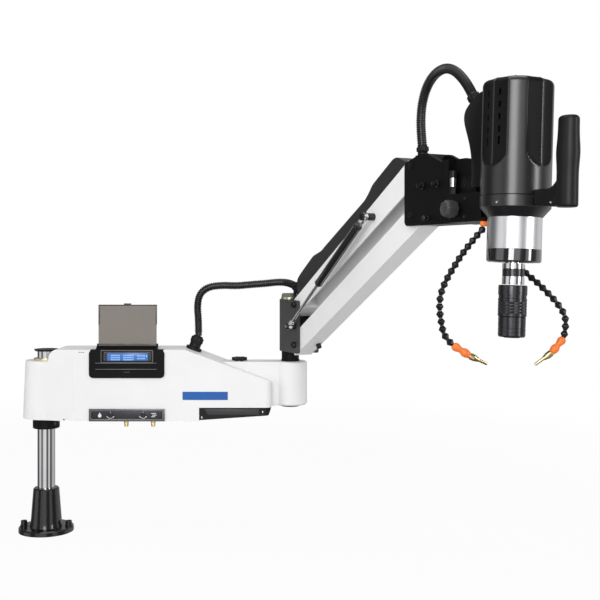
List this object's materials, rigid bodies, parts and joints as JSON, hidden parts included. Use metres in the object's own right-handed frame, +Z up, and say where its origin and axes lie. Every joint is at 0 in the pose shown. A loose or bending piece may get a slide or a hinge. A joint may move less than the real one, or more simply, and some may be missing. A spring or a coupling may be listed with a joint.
{
  "type": "arm tapping machine",
  "caption": "Electric tapping machine on a jointed swing arm: column on a bolt-down foot, control housing, gas-sprung parallel arm, tapping head with handle, chuck and coolant hoses.",
  "frame": {"origin": "centre of the foot's underside, on the bench", "axes": "+Z up along the column, +X along the first arm away from the column, -Y towards the viewer, on whose side the control panel is"},
  "size_m": [1.3527, 1.1324, 1.209],
  "materials": {
    "cast_black": "gloss black enamel on cast iron",
    "polished_steel": "ground and polished steel",
    "bright_steel": "turned bright steel",
    "white_paint": "smooth white powder coat",
    "black_paint": "satin black powder coat",
    "black_steel": "blackened steel",
    "bronze": "plain bearing bronze",
    "brass": "bright brass",
    "black_plastic": "smooth black moulded plastic",
    "matte_black": "matt black moulded plastic",
    "strip_face": "dark grey strip with brushed edges",
    "lid_smoke": "smoked clear plastic",
    "screen": "lit blue display",
    "blue_plate": "blue enamel plate",
    "board_green": "circuit board",
    "drive_alloy": "plain aluminium",
    "motor_alloy": "ribbed motor casting",
    "gearbox_grey": "light grey anodised aluminium",
    "orange_plastic": "orange moulded plastic",
    "rubber": "black rubber"
  },
  "bodies": {
    "stand": {"base_flange": "cast_black", "flange_screws": "black_steel", "column": "polished_steel", "column_collar": "black_paint", "column_ring": "bronze", "column_cap": "matte_black"},
    "first_arm": {"arm_casting": "white_paint", "arm_bushes": "bronze", "control_housing": "white_paint", "housing_floor": "white_paint", "end_insert": "black_plastic", "control_bezel": "black_plastic", "display_panel": "screen", "valve_strip": "strip_face", "panel_fittings": "brass", "rating_plate": "blue_plate", "arm_gland": "black_plastic", "control_board": "board_green", "servo_drive": "drive_alloy", "arm_conduit": "matte_black"},
    "lid": {"display_lid": "lid_smoke"},
    "lock_knob": {"arm_lock_knob": "matte_black"},
    "elbow": {"elbow_end_cap": "black_paint", "elbow_shaft": "black_paint", "elbow_bracket": "black_paint", "elbow_ring": "bronze", "elbow_cap": "black_paint", "elbow_pins": "black_steel", "spring_stud": "black_steel"},
    "upper_arm": {"upper_link": "white_paint", "cable_cover": "black_paint", "spring_pin": "black_steel"},
    "lower_arm": {"lower_link": "white_paint", "rest_buffer": "rubber"},
    "spring_rod": {"gas_spring_rod": "polished_steel"},
    "spring_tube": {"gas_spring_tube": "black_paint"},
    "head_bracket": {"bracket_plates": "black_paint", "bracket_core": "black_paint", "bracket_pins": "black_steel", "bracket_screws": "black_steel", "bracket_gland": "black_plastic", "head_conduit": "matte_black"},
    "tapping_head": {"head_carrier": "black_paint", "motor_cover": "black_plastic", "motor": "motor_alloy", "rear_cover": "black_plastic", "head_collar": "black_paint", "gearbox": "gearbox_grey", "spindle_ring": "black_steel", "handle": "matte_black"},
    "tilt_knob": {"tilt_knob": "matte_black"},
    "plunger": {"index_plunger": "bright_steel"},
    "start_button": {"handle_button": "orange_plastic"},
    "tool_spindle": {"spindle": "bright_steel", "chuck": "black_steel"},
    "sleeve": {"chuck_sleeve": "black_steel"},
    "left_hose": {"hose_left": "matte_black", "nozzle_left": "brass"},
    "right_hose": {"hose_right": "matte_black", "nozzle_right": "brass"}
  },
  "joints": [
    {"name": "column_turn", "type": "hinge", "parent": "stand", "child": "first_arm", "pos_m": [0, 0, 0.329], "axis": [0, 0, 1], "range_deg": [-170, 170]},
    {"name": "lid_hinge", "type": "hinge", "parent": "first_arm", "child": "lid", "pos_m": [0.1579, -0.056, 0.5418], "axis": [1, 0, 0], "range_deg": [-8, 70]},
    {"name": "lock_turn", "type": "hinge", "parent": "first_arm", "child": "lock_knob", "pos_m": [0.558, 0, 0.49], "axis": [0, 0, 1], "range_deg": [-170, 170]},
    {"name": "elbow_turn", "type": "hinge", "parent": "first_arm", "child": "elbow", "pos_m": [0.705, 0, 0.49], "axis": [0, 0, 1], "range_deg": [-57, 183], "deforming": ["arm_conduit"]},
    {"name": "arm_lift", "type": "hinge", "parent": "elbow", "child": "upper_arm", "pos_m": [0.74813, -0.08465, 0.656], "axis": [-0.891, -0.454, 0], "range_deg": [-47.8, 10.1]},
    {"name": "lower_arm_pivot", "type": "hinge", "parent": "elbow", "child": "lower_arm", "pos_m": [0.74813, -0.08465, 0.544], "axis": [-0.891, -0.454, 0], "range_deg": [-47.8, 10.1]},
    {"name": "spring_rod_pivot", "type": "hinge", "parent": "elbow", "child": "spring_rod", "pos_m": [0.70269, -0.1078, 0.596], "axis": [-0.891, -0.454, 0], "range_deg": [-46.4, 10]},
    {"name": "spring_tube_pivot", "type": "hinge", "parent": "upper_arm", "child": "spring_tube", "pos_m": [0.88885, -0.47316, 0.88453], "axis": [-0.891, -0.454, 0], "range_deg": [-0.6, 1.9]},
    {"name": "bracket_pivot", "type": "hinge", "parent": "upper_arm", "child": "head_bracket", "pos_m": [1.01459, -0.60761, 0.993], "axis": [-0.891, -0.454, 0], "range_deg": [-10.1, 47.8]},
    {"name": "head_roll", "type": "hinge", "parent": "head_bracket", "child": "tapping_head", "pos_m": [1.08169, -0.7393, 0.928], "axis": [0.454, -0.891, 0], "range_deg": [-90, 90], "deforming": ["head_conduit"]},
    {"name": "tilt_knob_turn", "type": "hinge", "parent": "tapping_head", "child": "tilt_knob", "pos_m": [1.06135, -0.78703, 0.88586], "axis": [-0.8905, -0.4537, 0.0349], "range_deg": [-170, 170]},
    {"name": "plunger_lift", "type": "slide", "parent": "tapping_head", "child": "plunger", "axis": [0.0311, 0.0158, 0.9994], "range_m": [0, 0.006], "stiffness_N_per_m": 900, "springref_m": -0.004},
    {"name": "button_press", "type": "slide", "parent": "tapping_head", "child": "start_button", "axis": [-0.8905, -0.4537, 0.0349], "range_m": [0, 0.002], "stiffness_N_per_m": 700, "springref_m": -0.001},
    {"name": "spindle_turn", "type": "hinge", "parent": "tapping_head", "child": "tool_spindle", "pos_m": [1.15777, -0.90061, 0.77209], "axis": [0.0311, 0.0158, 0.9994], "continuous": true},
    {"name": "sleeve_lift", "type": "slide", "parent": "tool_spindle", "child": "sleeve", "axis": [0.0311, 0.0158, 0.9994], "range_m": [0, 0.006], "stiffness_N_per_m": 1500, "springref_m": -0.004},
    {"name": "left_hose_turn", "type": "hinge", "parent": "tapping_head", "child": "left_hose", "pos_m": [1.10701, -0.86104, 0.84499], "axis": [0.0311, 0.0158, 0.9994], "range_deg": [-12, 12]},
    {"name": "right_hose_turn", "type": "hinge", "parent": "tapping_head", "child": "right_hose", "pos_m": [1.16603, -0.83097, 0.84498], "axis": [0.0311, 0.0158, 0.9994], "range_deg": [-12, 12]}
  ],
  "couplings": [
    {"joint": "lower_arm_pivot", "follows": "arm_lift", "ratio": 1},
    {"joint": "spring_rod_pivot", "follows": "arm_lift", "ratio": 0.966},
    {"joint": "spring_tube_pivot", "follows": "arm_lift", "ratio": -0.034},
    {"joint": "bracket_pivot", "follows": "arm_lift", "ratio": -1}
  ]
}
